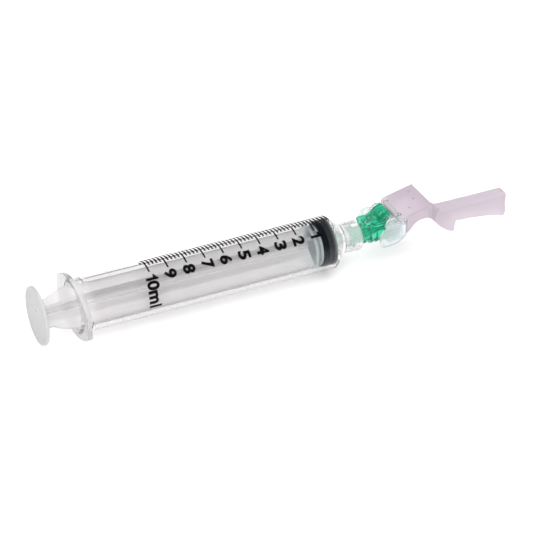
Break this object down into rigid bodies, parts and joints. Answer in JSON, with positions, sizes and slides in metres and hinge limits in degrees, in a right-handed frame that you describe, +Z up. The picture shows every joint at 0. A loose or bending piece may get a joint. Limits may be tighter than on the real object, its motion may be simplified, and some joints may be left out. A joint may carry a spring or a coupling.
{
  "type": "luer lock syringe",
  "caption": "Clear luer lock syringe with a scaled barrel, black stopper and ribbed plunger, carrying a green-hubbed steel needle under a hinged pink safety shield.",
  "frame": {"origin": "centre of the bounding box in plan, on the plane the syringe lies on, needle on and shield closed over it", "axes": "+X along the barrel from the thumb press to the needle, +Y across the finger flange, +Z up through the shield's hinge side"},
  "size_m": [0.1588, 0.026, 0.0182],
  "materials": {
    "clear_barrel": "gloss",
    "black_rubber": "satin",
    "milky_plastic": "satin",
    "green_plastic": "gloss",
    "needle_steel": "polished",
    "resin_bead": "gloss",
    "clear_collar": "gloss",
    "pink_plastic": "gloss"
  },
  "bodies": {
    "barrel": {"barrel": "clear_barrel"},
    "stopper": {"stopper": "black_rubber"},
    "plunger": {"plunger_rod": "milky_plastic"},
    "bead": {"needle_adhesive": "resin_bead"},
    "hub": {"needle_hub": "green_plastic", "cannula": "needle_steel", "shield_collar": "clear_collar"},
    "shield": {"safety_shield": "pink_plastic"}
  },
  "joints": [
    {"name": "plunger_slide", "type": "slide", "parent": "barrel", "child": "stopper", "axis": [-1, 0, 0], "range_m": [0, 0.0605]},
    {"name": "rod_turn", "type": "hinge", "parent": "stopper", "child": "plunger", "pos_m": [0, 0, 0.0091], "axis": [1, 0, 0], "continuous": true},
    {"name": "luer_feed", "type": "slide", "parent": "barrel", "child": "bead", "axis": [1, 0, 0], "range_m": [0, 0.005]},
    {"name": "luer_turn", "type": "hinge", "parent": "bead", "child": "hub", "pos_m": [0, 0, 0.0091], "axis": [1, 0, 0], "range_deg": [0, 360]},
    {"name": "shield_hinge", "type": "hinge", "parent": "hub", "child": "shield", "pos_m": [0.0387, 0, 0.0151], "axis": [0, -1, 0], "range_deg": [0, 120]}
  ],
  "couplings": [
    {"joint": "luer_turn", "follows": "luer_feed", "rad_per_m": 1256.6}
  ]
}
